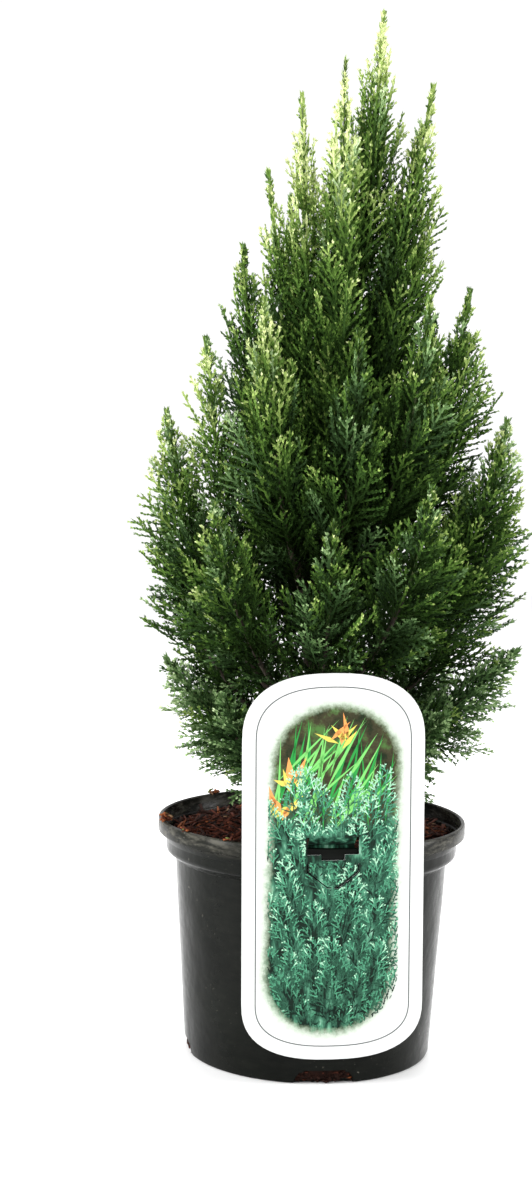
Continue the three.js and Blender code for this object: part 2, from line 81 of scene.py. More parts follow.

# The plumes of each tier by side: tip x, y, z, girth, height of the fork on the trunk, and glow, which is how
# far the sprays run to pale tips: young growth, and painted light on the front and upper plumes
PLUME_ROWS = {
    "leader": {
        "": (22, 5, 434, 22, 300, 1.3),
        "front": (6, -15, 411, 24, 226, 1.0),
        "left": (-11, -3, 398, 26, 214, 1.0),
        "far_left": (-24, 4, 368, 26, 196, 0.70),
        "right": (43, 4, 404, 33, 222, 0.76),
        "back": (3, 21, 384, 25, 206, 0.40),
        "back_right": (33, 21, 372, 28, 198, 0.18),
        "back_left": (-15, 22, 360, 24, 186, 0.22),
    },
    "shoulder": {
        "left": (-34, 2, 337, 23, 172, 0.38),
        "front_left": (-24, -42, 313, 24, 160, 0.80),
        "front": (13, -47, 300, 23, 152, 0.24),
        "front_right": (41, -38, 315, 24, 164, 0.40),
        "right": (60, -4, 320, 32, 170, 0.44),
        "back_right": (49, 36, 312, 26, 154, 0.12),
        "back": (8, 50, 306, 26, 176, 0.14),
        "back_left": (-26, 38, 318, 25, 150, 0.14),
    },
    "flank": {
        "spur": (-48, -14, 298, 21, 140, 0.52),
        "left": (-64, -8, 268, 27, 128, 0.48),
        "far_left": (-65, 8, 222, 22, 118, 0.15),
        "front_left": (-42, -54, 232, 25, 134, 0.26),
        "front": (4, -68, 226, 23, 122, 0.20),
        "front_right": (42, -62, 240, 25, 138, 0.18),
        "right": (76, -12, 267, 31, 130, 0.38),
        "far_right": (78, 4, 230, 24, 119, 0.28),
        "back_right": (66, 48, 238, 26, 132, 0.08),
        "back": (26, 72, 228, 25, 120, 0.08),
        "back_left": (-20, 70, 240, 25, 136, 0.08),
        "far_back_left": (-54, 48, 230, 26, 124, 0.08),
    },
    "skirt": {
        "left": (-62, -8, 166, 24, 112, 0.18),
        "front_left": (-38, -44, 155, 19, 108, 0.10),
        "front": (6, -52, 160, 18, 114, 0.00),
        "front_right": (52, -42, 150, 22, 107, 0.06),
        "right": (84, -4, 172, 26, 113, 0.10),
        "back_right": (60, 44, 166, 26, 109, 0.02),
        "back": (4, 64, 172, 26, 115, 0.02),
        "back_left": (-50, 42, 168, 26, 106, 0.02),
    },
}
# A plume's half width as a share of its girth, at its foot and at its tip, and how far up it is widest
OUTLINE = Sizes(foot=0.74, widest=0.36, tip=0.1)
# How the sprays of each tier grow: a value for each tier of PLUME_ROWS, in its order
TIER_ROWS = dict(
    taper=(0.65, 0.68, 0.75, 0.75),  # exponent of the outline above its widest
    reach=(1.55, 1.25, 1.0, 0.96),  # the longest sprays' share of the half width
    cone=(0.42, 0.50, 0.60, 0.8),  # slope of the cone that sprays end in under the tip
    lean=(33, 37, 41, 48),  # of a spray from its stem
    curl=(0.14, 0.12, 0.06, -0.04),  # rise over a spray's length; below zero it hangs
    ruffle=(0.15, 0.1, 0.1, 0.1),  # how far twigs leave their spray's plane
    shoots=(0.55, 0.4, 0.15, 0.05),  # share of sprays that are steep and narrow
    full=(1.4, 1.25, 1.35, 2.0),  # factor on the number of sprays
    bare=(0.8, 0.5, 0.2, 0.0),  # share of sprays left out at the tip
    # light: painted light and shade by tier, lifting the lower tiers and darkening the upper ones
    light=(-0.05, -0.07, 0.07, 0.17),  # added to the tint scores
    cool=(0.05, 0.2, 0.36, 0.92),  # share of sprays in the cool tints
    fade=(2.3, 0.9, 1.8, 2.3),  # exponent by which the glow falls off below the tip
    young=(190, 190, 190, 60),  # young leaves round the end of the stem
)
TIERS = {tier: Sizes(**dict(zip(TIER_ROWS, column)))
         for tier, column in zip(PLUME_ROWS, zip(*TIER_ROWS.values()))}

# A spray: a rachis, side twigs a gap apart in its plane, and splayed scale leaves in crossed pairs on them. A
# stem in a plume of this girth has one for every spacing. Twig share is of the spray's length, bough share of
# the girth, and thick is a sliver's keel over its half width.
SPRAY = Sizes(spacing=1.6, girth=24, most=40, lean=1.0, breadth=1.0, gap=2.7, splay=21.0, twig_angle=33.0,
              twig_share=0.56, twig_width=0.42, least=1.6, pair_gap=1.2, leaf=1.75, leaf_width=0.43,
              thick=0.5, bough_share=0.5)
SHOOT = Sizes(most=62, lean=0.65, breadth=0.5, gap=3.6, splay=15.0, reach=1.3, ruffle=0.7)
# Young leaves: drawn for every plume, of which its tier keeps its own number; span is a share of the stem
YOUNG = Sizes(drawn=190, span=0.25, shortest=2.0, longest=4.4, width=0.48)
# What goes into a leaf's tint score beside its tier's painted light: painted light where its spray faces out,
# its height (new growth and painted light from above), slow painted light and shade through the crown, its
# plume's glow, its place on the spray (pale young tips, painted shade near the stem), and chance by spray and
# by leaf
SCORE = Sizes(outward=0.10, height=0.20, patch=0.07, glow=0.62, place=0.62, spray=0.06, leaf=0.05)
# Tints from deep shade to the palest tip, as linear colours, for warm sprays and for cool ones
TINTS = [
    ("shade", (0.0036, 0.0080, 0.0012), (0.0034, 0.0080, 0.0016)),
    ("deep", (0.009, 0.0200, 0.0028), (0.0088, 0.0204, 0.0044)),
    ("mid", (0.0180, 0.0420, 0.0085), (0.0207, 0.0450, 0.0135)),
    ("green", (0.0352, 0.0780, 0.0145), (0.0435, 0.0885, 0.0285)),
    ("fresh", (0.0905, 0.172, 0.0305), (0.110, 0.194, 0.069)),
    ("lime", (0.266, 0.371, 0.100), (0.275, 0.400, 0.180)),
    ("cream", (0.600, 0.680, 0.320), (0.570, 0.680, 0.400)),
]
TINT_STEPS = (0.08, 0.23, 0.38, 0.53, 0.70, 0.88)
MOST_ROWS = 96000  # slivers in a piece, two faces each

# The compost's stuff: material, and linear colours in its hollows and on its ridges
CRUMBS = {
    "dark": ("compost_dark", (0.005, 0.0022, 0.0016), (0.030, 0.010, 0.006)),
    "red": ("bark_red", (0.024, 0.0065, 0.004), (0.095, 0.026, 0.014)),
    "rust": ("bark_rust", (0.09, 0.026, 0.010), (0.28, 0.085, 0.030)),
    "pale": ("bark_pale", (0.11, 0.060, 0.035), (0.32, 0.20, 0.11)),
    "moss": ("moss", (0.045, 0.065, 0.015), (0.20, 0.25, 0.07)),
}
CHIPS = {  # on the compost: count, range of lengths, range of widths
    "dark": (1300, (3, 11), (0.6, 1.9)),
    "red": (950, (3, 13), (0.6, 2.0)),
    "rust": (170, (3, 12), (0.5, 1.6)),
    "pale": (50, (2, 8), (0.4, 1.1)),
}
FIBRES = 700
RIM_BITS = {"rust": 30, "red": 24, "pale": 8, "moss": 7}
RIM_HEAPS = {(-61.5, -17): 0.66, (-43, 47): 0.14, (-35, -53): 0.12, (-52, -37): 0.08}  # share at x, y
DRAIN_CRUMBS = {"dark": 340, "red": 44, "rust": 6}

# On the card, in its own x and z. The picture fades out round its edge, and strokes are printed within it.
PICTURE = (31.0, 71.0, 30.0, 91.0)  # half width, half height, corner radius, height of its middle
STROKES = (26.0, 63.0, 22.0, 91.0)
TONGUE = Sizes(half=9.5, foot=98.8)
SLOT = Sizes(half=10.9, foot=94.4, top=104.7)
FLAP_CUT = [(10.05, 94.6), (10.05, 90.4), (2.2, 84.05), (0.0, 84.05)]  # right half
SPRIGS = Sizes(rows=10, top=110.0, row=10.0, step=10.5, length=21.0, scale=0.45)
PRINT_TINTS = (("print_shade", (0.005, 0.017, 0.011)), ("print_teal", (0.028, 0.105, 0.062)),
               ("print_sage", (0.080, 0.30, 0.175)), ("print_mint", (0.42, 0.74, 0.52)))
PRINT_STEPS = (0.34, 0.54, 0.74)

# Metres and degrees, with the focal length and the frame's height in pixels and the sensor in millimetres
CAMERA = Sizes(place=(-0.0214, -0.838, 0.266), down=5.09, roll=1.25, focal=2000, frame=1199, sensor=36)
SOFTBOXES = {  # place and size in metres, watts
    "left": ((-1.15, -0.4, 0.55), (0.45, 0.9), 20),
    "right": ((1.2, -0.05, 0.5), (0.4, 0.9), 15),
    "back": ((0.1, 0.7, 1.1), (0.7, 0.5), 9),
    "front": ((-0.35, -1.3, 0.75), (0.5, 0.5), 5),
}
LIT = (0, 0, 0.22)  # the point that the softboxes face
SKY = 1.06  # strength of the white world
FLOOR = 2.4  # half its side


# ---- Meshes and materials ----
def link(name, shape, material, nodes=(), smooth=True):
    """A visible piece from a mesh or from points and faces, in the place of the given nodes."""
    mesh = mesh_of(name, *shape) if isinstance(shape, tuple) else shape
    piece = bpy.data.objects.new(name, mesh)
    bpy.context.collection.objects.link(piece)
    mesh.materials.append(material)
    if smooth:
        mesh.polygons.foreach_set("use_smooth", [True] * len(mesh.polygons))
    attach(piece, "root")
    if nodes:
        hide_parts(*nodes)
    return piece


def mesh_of(name, points, faces):
    """A mesh from arrays: points in millimetres, faces as rows of three or four corners."""
    points = np.asarray(points, dtype=np.float32) * MM
    faces = np.asarray(faces, dtype=np.int32)
    mesh = bpy.data.meshes.new(name)
    mesh.vertices.add(len(points))
    mesh.vertices.foreach_set("co", points.ravel())
    mesh.loops.add(faces.size)
    mesh.loops.foreach_set("vertex_index", faces.ravel())
    mesh.polygons.add(len(faces))
    mesh.polygons.foreach_set("loop_start", np.arange(0, faces.size, faces.shape[1], dtype=np.int32))
    mesh.update(calc_edges=True)
    return mesh


class Nodes:
    """Short words for building a material's node tree."""

    def __init__(self, name, **values):
        self.material = bpy.data.materials.new(name)
        self.material.use_nodes = True
        self.tree = self.material.node_tree
        self.shader = self.tree.nodes["Principled BSDF"]
        for socket, value in values.items():
            self.shader.inputs[socket.replace("_", " ")].default_value = value

    def add(self, kind, inputs=(), **settings):
        node = self.tree.nodes.new(kind)
        for key, value in settings.items():
            setattr(node, key, value)
        for socket, value in dict(inputs).items():
            if isinstance(value, bpy.types.NodeSocket):
                self.tree.links.new(value, node.inputs[socket])
            else:
                node.inputs[socket].default_value = value
        return node

    def place(self):
        return self.add("ShaderNodeTexCoord").outputs["Object"]

    def moved(self, vector, **inputs):
        return self.add("ShaderNodeMapping", {"Vector": vector, **inputs}).outputs["Vector"]

    def parts(self, vector):
        return self.add("ShaderNodeSeparateXYZ", {"Vector": vector}).outputs

    def noise(self, scale, detail=4.0, roughness=0.6, vector=None):
        values = {"Vector": vector or self.place(), "Scale": scale, "Detail": detail, "Roughness": roughness}
        return self.add("ShaderNodeTexNoise", values).outputs["Fac"]

    def ramp(self, fac, *stops):
        node = self.add("ShaderNodeValToRGB", {"Fac": fac})
        elements = node.color_ramp.elements
        while len(elements) < len(stops):
            elements.new(0.5)
        for element, (at, value) in zip(elements, stops):
            element.position = at
            element.color = (*value, 1) if isinstance(value, tuple) else (value, value, value, 1)
        return node.outputs["Color"]

    def math(self, operation, a, b=0.0, *more, clamp=False):
        """An operation on two values, then on what it gives and each one more."""
        value = self.add("ShaderNodeMath", {0: a, 1: b}, operation=operation, use_clamp=clamp).outputs[0]
        return self.math(operation, value, *more) if more else value

    plus = partialmethod(math, "ADD")
    minus = partialmethod(math, "SUBTRACT")
    times = partialmethod(math, "MULTIPLY")
    over = partialmethod(math, "DIVIDE")
    most = partialmethod(math, "MAXIMUM")
    size = partialmethod(math, "ABSOLUTE")

    def length(self, a, b):
        return self.math("SQRT", self.plus(self.times(a, a), self.times(b, b)))

    def mix(self, fac, a, b):
        a, b = ((*c, 1) if isinstance(c, tuple) else c for c in (a, b))
        return self.add("ShaderNodeMix", {0: fac, 6: a, 7: b}, data_type="RGBA").outputs[2]

    def to(self, socket, value):
        self.tree.links.new(value, self.shader.inputs[socket])

    def bump(self, height, strength, distance):
        node = self.add("ShaderNodeBump", {"Height": height, "Strength": strength, "Distance": distance})
        self.to("Normal", node.outputs["Normal"])


# ---- Lines and limbs ----
def catmull_rom(knots, t):
    """The centripetal curve through the knots, by knot number, with the ends run on straight."""
    p = np.array(knots, dtype=float)
    p = np.vstack([2 * p[0] - p[1], p, 2 * p[-1] - p[-2]])
    x = np.clip(t, 0, 1) * (len(knots) - 1)
    i = min(int(x), len(knots) - 2)
    w = x - i
    a, b, c, d = p[i:i + 4]
    d0, d1, d2 = (max(sqrt(np.linalg.norm(v)), 1e-4) for v in (b - a, c - b, d - c))
    m1 = ((b - a) / d0 - (c - a) / (d0 + d1) + (c - b) / d1) * d1
    m2 = ((c - b) / d1 - (d - b) / (d1 + d2) + (d - c) / d2) * d1
    w2, w3 = w * w, w ** 3
    return (2 * w3 - 3 * w2 + 1) * b + (w3 - 2 * w2 + w) * m1 + (3 * w2 - 2 * w3) * c + (w3 - w2) * m2


def bezier(a, b, c, t):
    t = np.asarray(t, dtype=float)[..., None]
    return (1 - t) ** 2 * a + 2 * t * (1 - t) * b + t * t * c


def unit(v):
    v = np.asarray(v, dtype=float)
    return v / np.maximum(np.linalg.norm(v, axis=-1, keepdims=True), 1e-9)


def across(direction):
    """Two directions across each given one."""
    direction = np.atleast_2d(direction)
    side = np.cross((0, 0, 1), direction)
    side[np.linalg.norm(side, axis=1) < 1e-6] = (1, 0, 0)
    side = unit(side)
    return side, np.cross(direction, side)


def circle(sides):
    """Angles evenly round a circle."""
    return np.linspace(0, 2 * np.pi, sides, endpoint=False)


def trunk_radius(t, angle=0.0):
    height = t * (TRUNK_KNOTS[-1][2] - TRUNK_KNOTS[0][2])
    lobed = 0.7 + 0.3 * np.cos(TRUNK.lobes * angle)
    flare = np.exp(-height / TRUNK.flare_height) * TRUNK.flare * lobed
    return TRUNK.radius + (TRUNK.tip - TRUNK.radius) * t ** 0.8 + flare


TRUNK_TS = np.linspace(0, 1, 121)
TRUNK_LINE = np.array([catmull_rom(TRUNK_KNOTS, t) for t in TRUNK_TS])


def trunk_at(z):
    t = np.interp(z, TRUNK_LINE[:, 2], TRUNK_TS)
    return catmull_rom(TRUNK_KNOTS, t), trunk_radius(t)


class Plume:
    """A foliage plume on its stem, with the bough that brings the stem from the trunk, if it has one."""

    def __init__(self, tier, side, row):
        x, y, z, self.girth, fork, self.glow = row
        self.tier = TIERS[tier]
        tip = np.array((x, y, z), dtype=float)
        start, radius = trunk_at(fork)
        level = (tip - start) * (1, 1, 0)
        out = unit(level)
        self.bough = None
        if not side:  # the leader itself, on the trunk's tip
            top = unit(TRUNK_LINE[-1] - TRUNK_LINE[-2])
            foot = TRUNK_LINE[-1] + top * GAP
            bend = foot + top * 0.4 * (z - foot[2])
        elif tier in ("leader", "skirt"):
            foot = start + out * (radius + 0.6)
            bend = foot + level * (0.45 if tier == "leader" else 0.5)
            bend[2] = fork + (z - fork) * 0.35
        else:
            foot = start + level * 0.36
            foot[2] = fork + (z - fork) * (0.26 if tier == "shoulder" else 0.22)
            bend = foot + level * 0.52
            bend[2] = foot[2] + (z - foot[2]) * 0.4
            heading = unit(bend - foot)
            root = start + out * (radius * 0.5)
            self.bough = (root, foot - heading * 0.45 * np.linalg.norm(foot - root), foot)
        self.line = (foot, bend, tip)
        self.samples = self.at(np.linspace(0, 1, 25))
        self.length = np.linalg.norm(np.diff(self.samples, axis=0), axis=1).sum()
        self.outward = out

    def at(self, t):
        return bezier(*self.line, t)

    def at_foot(self, t):
        """Points on the bough that brings the stem, or at the stem's foot where there is none."""
        return bezier(*self.bough, t) if self.bough else np.repeat(self.samples[:1], len(t), axis=0)

    def heading(self, t, line=None):
        a, b, c = line or self.line
        return unit(2 * (1 - t) * (b - a) + 2 * t * (c - b))

    def half_width(self, t):
        """Quickly wide, widest a third of the way up, then drawn out to the tip."""
        foot, widest, tip = OUTLINE.foot, OUTLINE.widest, OUTLINE.tip
        t = np.asarray(t, dtype=float)
        rising = foot + (1 - foot) * np.sin(np.pi / 2 * np.clip(t / widest, 0, 1))
        left = np.clip((1 - t) / (1 - widest), 0, 1)
        return self.girth * np.where(t < widest, rising, tip + (1 - tip) * left ** self.tier.taper)


PLUMES = [Plume(tier, side, row) for tier, rows in PLUME_ROWS.items() for side, row in rows.items()]
SAMPLES = np.stack([np.vstack([p.samples, p.at_foot(np.linspace(0.4, 1, 9))]) for p in PLUMES])
REACH = np.stack([np.concatenate([np.maximum(p.half_width(np.linspace(0, 1, 25)), 0.3 * p.girth),
                                  np.full(9, SPRAY.bough_share * p.girth)]) for p in PLUMES])
BOUGH_LINES = [p.bough for p in PLUMES if p.bough]
LIMB_POINTS = np.vstack([TRUNK_LINE[::2]] + [bezier(*line, np.linspace(0, 1, 17)) for line in BOUGH_LINES])
LIMB_RADII = np.concatenate([[trunk_radius(t) for t in TRUNK_TS[::2]]]
                            + [np.linspace(BOUGH.radius, BOUGH.tip, 17)] * len(BOUGH_LINES))
BOX = np.array([list(corner) for corner in cad_box]) / MM


def is_clear(points, margin):
    """Which points lie about the solids' box and clear of the compost, the pot and the card."""
    x, y, z = points.T
    clear = ((points > BOX[0] - PAST_BOX + margin) & (points < BOX[1] + PAST_BOX - margin)).all(axis=1)
    in_pot = (z < POT.height - 0.5 + margin) & (np.hypot(x, y) > POT.collar - 2 - margin)
    turn = radians(-CARD.turn)
    x, y = x * cos(turn) - y * sin(turn), x * sin(turn) + y * cos(turn)
    by_card = (abs(x) < CARD.width / 2 + 1 + margin) & (z < CARD.foot + CARD.height + 1 + margin)
    return clear & (z > SOIL_TOP + margin) & ~in_pot & ~(by_card & (y < CARD_BACK + margin))


def is_free(index, points, margin):
    """Whether all the points lie in a plume's own space, clear of the pot, the card and the limbs."""
    points = np.atleast_2d(points)
    if not is_clear(points, 2.0).all():
        return False
    away = np.linalg.norm(points[:, None] - LIMB_POINTS[None], axis=2)
    if (away < LIMB_RADII + 0.8).any():
        return False
    share = (np.linalg.norm(points[:, None, None] - SAMPLES[None], axis=3) / REACH[None]).min(axis=2)
    own = share[:, index].copy()
    share[:, index] = np.inf
    return bool((share.min(axis=1) > own + margin).all())


def ring_faces(count, sides):
    """Triangles over rings of points, and to a point at each end, which come after the rings."""
    ring, s = np.meshgrid(np.arange(count - 1), np.arange(sides), indexing="ij")
    a, b = ring * sides + s, ring * sides + (s + 1) % sides
    first, top = count * sides, (count - 1) * sides
    s = np.arange(sides)
    n = (s + 1) % sides
    corners = ((a, b, b + sides), (a, b + sides, a + sides),
               (np.full(sides, first), n, s), (np.full(sides, first + 1), top + s, top + n))
    return np.concatenate([np.stack(c, axis=-1).reshape(-1, 3) for c in corners])


def tube(line, radii, sides):
    """Rings round a line, closed at both ends with a point, with a radius for each ring or each point."""
    line = np.asarray(line, dtype=float)
    side, up = across(unit(np.gradient(line, axis=0)))
    angles = circle(sides)[:, None]
    rings = line[:, None] + radii.reshape(len(line), -1, 1) * (
        np.cos(angles) * side[:, None] + np.sin(angles) * up[:, None])
    return np.vstack([rings.reshape(-1, 3), line[:1], line[-1:]]), ring_faces(len(line), sides)


def joined(parts):
    """Several (points, faces) as one."""
    points, faces = zip(*parts)
    offsets = np.cumsum([0] + [len(p) for p in points[:-1]])
    return np.concatenate(points), np.concatenate([f + offset for f, offset in zip(faces, offsets)])


# ---- Foliage ----
def slivers(rows):
    """Pointed keeled slivers of two faces, from rows of (root, tip, flat direction, half width)."""
    root, tip = rows[:, 0:3], rows[:, 3:6]
    width = rows[:, 9:10]
    along = unit(tip - root)
    wide = unit(np.cross(rows[:, 6:9], along))
    thin = np.cross(along, wide)
    middle = root + (tip - root) * 0.45 - thin * width * SPRAY.thick
    points = np.stack([root, middle + wide * width, middle - wide * width, tip], axis=1).reshape(-1, 3)
    faces = np.array([[0, 1, 3], [0, 3, 2]])[None] + np.arange(len(rows))[:, None, None] * 4
    return points, faces.reshape(-1, 3)


def spray_rows(rng, root, along, wide, length, rise, ruffle=0.0, breadth=1.0, kind=SPRAY):
    """One spray as sliver rows, with each row's place on it, 0 at the root and 1 at the tips.

    The rachis bends by rise over its length. Its twigs lie in the plane of along and wide, but for the
    ruffle, and breadth draws them in where it is below 1. The kind gives their gap and the leaves' splay.
    """
    normal = unit(np.cross(along, wide))
    rows, places = [], []

    def put(a, b, flat, width, place):
        rows.append(np.concatenate([a, b, np.broadcast_to(flat, a.shape), width], axis=1))
        places.append(place)

    def on(f):
        return root + along * length * f[:, None] + rise * (f * f)[:, None]

    steps = max(int(length / 4.5), 3)
    f = np.linspace(0, 1, steps + 1)
    line = on(f)
    start, end = line[:-1], line[1:]
    step = end - start
    put(start - step * 0.2, end + step * 0.45, normal, np.linspace(0.6, 0.4, steps)[:, None], f[1:] * 0.8)

    count = max(int(length / kind.gap), 3)
    f = (np.arange(count) + 0.8) / (count + 0.6)
    hand = np.where(np.arange(count) % 2, 1.0, -1.0) * (1 if rng.random() < 0.5 else -1)
    heading = unit(along * length + 2 * f[:, None] * rise)
    turn = np.radians(SPRAY.twig_angle + rng.normal(0, 3.5, count))[:, None]
    out = unit(np.cross(normal, heading)) * hand[:, None] + normal * rng.normal(0, ruffle, (count, 1))
    twig = unit(heading * np.cos(turn) + unit(out) * np.sin(turn))
    profile = np.minimum(1, (f + 0.25) / 0.45) * (1 - f) ** 0.8
    size = (length * SPRAY.twig_share * profile * rng.uniform(0.7, 1.15, count) + SPRAY.least) * breadth
    at = on(f)
    put(at - twig * 0.4, at + twig * (size[:, None] + 0.5), normal, np.full((count, 1), SPRAY.twig_width),
        f * 0.55 + 0.3)

    # Scale leaves in crossed pairs along each twig and up the end of the rachis
    stems = np.concatenate([at, on(np.array([0.5]))])
    ways = np.concatenate([twig, unit(on(np.array([1.0])) - on(np.array([0.5])))])
    sizes = np.concatenate([size, [length * 0.5]])
    where = np.concatenate([f * 0.62, [0.5]])
    number = np.maximum(np.round(sizes / SPRAY.pair_gap).astype(int), 2)
    owner = np.repeat(np.arange(len(sizes)), number * 2)
    rank = np.concatenate([np.arange(n * 2) for n in number])
    pair = rank // 2
    g = (pair + 0.9) / (number[owner] + 0.05)
    forward = ways[owner]
    flat_way = unit(np.cross(normal, forward))
    cross_way = np.cross(forward, flat_way)
    hand = np.where(rank % 2, 1.0, -1.0)[:, None]
    crossed = cross_way * 0.9 + flat_way * rng.normal(0, 0.5, (len(owner), 1))
    out = np.where((pair % 2)[:, None] == 0, flat_way, crossed) * hand
    turn = np.radians(kind.splay * (1.15 - 0.3 * g) + rng.normal(0, 5, len(owner)))[:, None]
    leaf = forward * np.cos(turn) + unit(out) * np.sin(turn)
    base = stems[owner] + forward * (sizes[owner] * g)[:, None]
    reach = SPRAY.leaf * (1.15 - 0.25 * g) * rng.uniform(0.8, 1.25, len(owner))
    width = SPRAY.leaf_width * rng.uniform(0.8, 1.15, (len(owner), 1))
    put(base, base + leaf * reach[:, None], np.cross(forward, out), width,
        np.minimum(where[owner] + g * 0.38, 1.0))
    return np.concatenate(rows), np.concatenate(places)


def patch(point):
    """Slow painted light and shade through the crown, from -1 to 1."""
    x, y, z = point / 17.0
    swell = sin(x * 1.3 + 2 * sin(z * 0.7)) * cos(z * 0.9 + 1.7 * sin(y))
    return (swell + sin(y * 1.9 + z)) / 2


def grow_spray(index, rng, root, axis, lean, turns, longest, curl):
    """One spray on a stem, at the first turn round it that has room; None where there is none."""
    u, v = (w[0] for w in across(axis))
    roll = rng.normal(0, 0.8)
    for turn in turns:
        side = u * cos(turn) + v * sin(turn)
        along = axis * cos(lean) + side * sin(lean)
        flat = unit(np.cross(axis, side))
        wide = unit(flat * cos(roll) + np.cross(along, flat) * sin(roll))
        lift = unit(axis - along * (axis @ along))
        size = longest
        while size > max(0.4 * longest, 2.5):
            rise = lift * curl * size
            wing = root + along * size * 0.55 + rise * 0.3
            tests = [root + along * size + rise, wing + wide * size * 0.25, wing - wide * size * 0.25,
                     root + along * size * 0.3]
            if is_free(index, tests, -0.15):
                return side, along, wide, size, rise
            size *= 0.85
    return None


def grow_plume(index, plume, rng):
    """All of a plume's sliver rows with their tint scores, and whether each is cool."""
    rows, scores, cools = [], [], []
    tier = plume.tier
    count = int(plume.length * plume.girth / SPRAY.girth / SPRAY.spacing * tier.full)
    start = rng.uniform(0, 2 * np.pi)
    places = [(0.02 + 0.96 * (k + rng.uniform(0, 0.9)) / count, plume.line) for k in range(count)]
    if plume.bough:
        places += [(t, plume.bough) for t in rng.uniform(0.4, 1.0, 16)]
    for k, (t, line) in enumerate(places):
        on_stem = line is plume.line
        if on_stem and rng.random() < tier.bare * t ** 3:
            continue
        axis = plume.heading(t, line)
        root = bezier(*line, t)
        lean = radians(tier.lean * (1.15 - 0.5 * t if on_stem else 1.2) * rng.uniform(0.75, 1.2))
        shoot = rng.random() < tier.shoots
        kind = SHOOT if shoot else SPRAY
        lean *= kind.lean
        turns = start + GOLDEN_ANGLE * k + 2 * np.pi * np.arange(5) / 5
        half_width = float(plume.half_width(t)) if on_stem else SPRAY.bough_share * plume.girth
        room = (1 - t) * plume.length if on_stem else plume.length
        reach = min(SHOOT.reach, tier.reach) if shoot else tier.reach
        stretch = reach * rng.choice((0.6, 0.8, 0.92, 1.0)) * rng.uniform(0.92, 1.0)
        cone = tier.cone * rng.uniform(0.5, 1.4)
        under_tip = (cone * room + 1) / (sin(lean) + cone * cos(lean))
        longest = min(half_width / sin(lean) * stretch, under_tip, kind.most)
        grown = grow_spray(index, rng, root, axis, lean, turns, longest, tier.curl)
        if grown is None:
            continue
        side, along, wide, size, rise = grown
        ruffle = SHOOT.ruffle if shoot else tier.ruffle
        breadth = kind.breadth * (1 - 0.5 * t * t)
        made, place = spray_rows(rng, root, along, wide, size, rise, ruffle, breadth, kind)
        # Painted light and shade in the tint score: paler where the spray faces out, up high and in lit
        # patches
        facing = 0.5 + 0.5 * float(side @ plume.outward)
        height = float(np.clip((root[2] - 100) / 330, 0, 1))
        score = (tier.light + SCORE.outward * facing + SCORE.height * height
                 + SCORE.patch * patch(root + along * size * 0.6) + rng.normal(0, SCORE.spray))
        if on_stem:
            score += SCORE.glow * plume.glow * (0.1 + 0.9 * t ** tier.fade) + 0.05 * t - 0.02
        else:
            # Painted shade: the sprays on the boughs sit deep in the crown
            score -= 0.13
        rows.append(made)
        # Paler towards the spray's tips: young growth, and painted shade near the stem
        scores.append(score + SCORE.place * place ** 2.0 - 0.01 + rng.normal(0, SCORE.leaf, len(place)))
        cools.append(np.full(len(place), rng.random() < tier.cool))
    # Young leaves close round the stem's upper end
    count = YOUNG.drawn
    t = 1 - YOUNG.span * rng.random(count) ** 1.5
    axis = np.stack([plume.heading(x) for x in t])
    side, up = across(axis)
    spin = rng.uniform(0, 2 * np.pi, count)[:, None]
    leaf = unit(axis + (side * np.cos(spin) + up * np.sin(spin)) * rng.uniform(0.2, 0.62, (count, 1)))
    at = plume.at(t)
    size = rng.uniform(YOUNG.shortest, YOUNG.longest, (count, 1))
    kept = slice(0, tier.young)
    rows.append(np.concatenate([at, at + leaf * size, side, np.full((count, 1), YOUNG.width)], axis=1)[kept])
    scores.append((0.34 + 0.2 * t ** 3 + 0.23 * plume.glow + rng.normal(0, 0.09, count))[kept])
    cools.append((rng.random(count) < tier.cool)[kept])
    return np.concatenate(rows), np.concatenate(scores), np.concatenate(cools)


def leaf_material(name, color):
    m = Nodes(f"scale_leaf_{name}", Base_Color=(*color, 1), Specular_IOR_Level=0.04)
    m.to("Roughness", m.ramp(m.noise(900.0, 2.0), (0.3, 0.48), (0.7, 0.68)))
    m.bump(m.noise(1600.0, 2.0), 0.35, 0.0003)
    return m.material


def build_foliage():
    rng = np.random.default_rng(SEED)
    grown = [grow_plume(i, p, rng) for i, p in enumerate(PLUMES)]
    rows, scores, cools = (np.concatenate(part) for part in zip(*grown))
    keep = is_clear(rows[:, 3:6], 0.4)
    rows, scores, cools = rows[keep], scores[keep], cools[keep]
    tint = np.digitize(scores, TINT_STEPS)
    for i, (name, *colors) in enumerate(TINTS):
        for word, color, dealt in zip(("warm", "cool"), colors, (~cools, cools)):
            own = rows[(tint == i) & dealt]
            material = leaf_material(f"{word}_{name}", color)
            for j in range(0, len(own), MOST_ROWS):
                made = slivers(own[j:j + MOST_ROWS])
                piece = f"sprays_{word}_{name}_{j // MOST_ROWS + 1}"
                link(piece, made, material, MASSES, smooth=False)


# ---- Trunk, boughs and stems ----
def bark_material():
    m = Nodes("cypress_bark", Roughness=0.85)
    place = m.place()
    fibre = m.noise(900.0, 6.0, 0.65, m.moved(place, Scale=(1.0, 1.0, 0.18)))
    blotch = m.noise(90.0, 3.0, 0.5, place)
    color = m.mix(blotch, m.ramp(fibre, (0.3, (0.011, 0.007, 0.005)), (0.7, (0.050, 0.030, 0.018))),
                  m.ramp(fibre, (0.3, (0.014, 0.012, 0.007)), (0.75, (0.060, 0.048, 0.026))))
    m.to("Base Color", color)
    m.bump(fibre, 0.8, 0.0006)
    return m.material


def stem_material():
    m = Nodes("green_stem", Roughness=0.6)
    grain = m.noise(700.0, 3.0)
    m.to("Base Color", m.ramp(grain, (0.3, (0.035, 0.075, 0.018)), (0.7, (0.085, 0.11, 0.03))))
    m.bump(grain, 0.4, 0.0003)
    return m.material


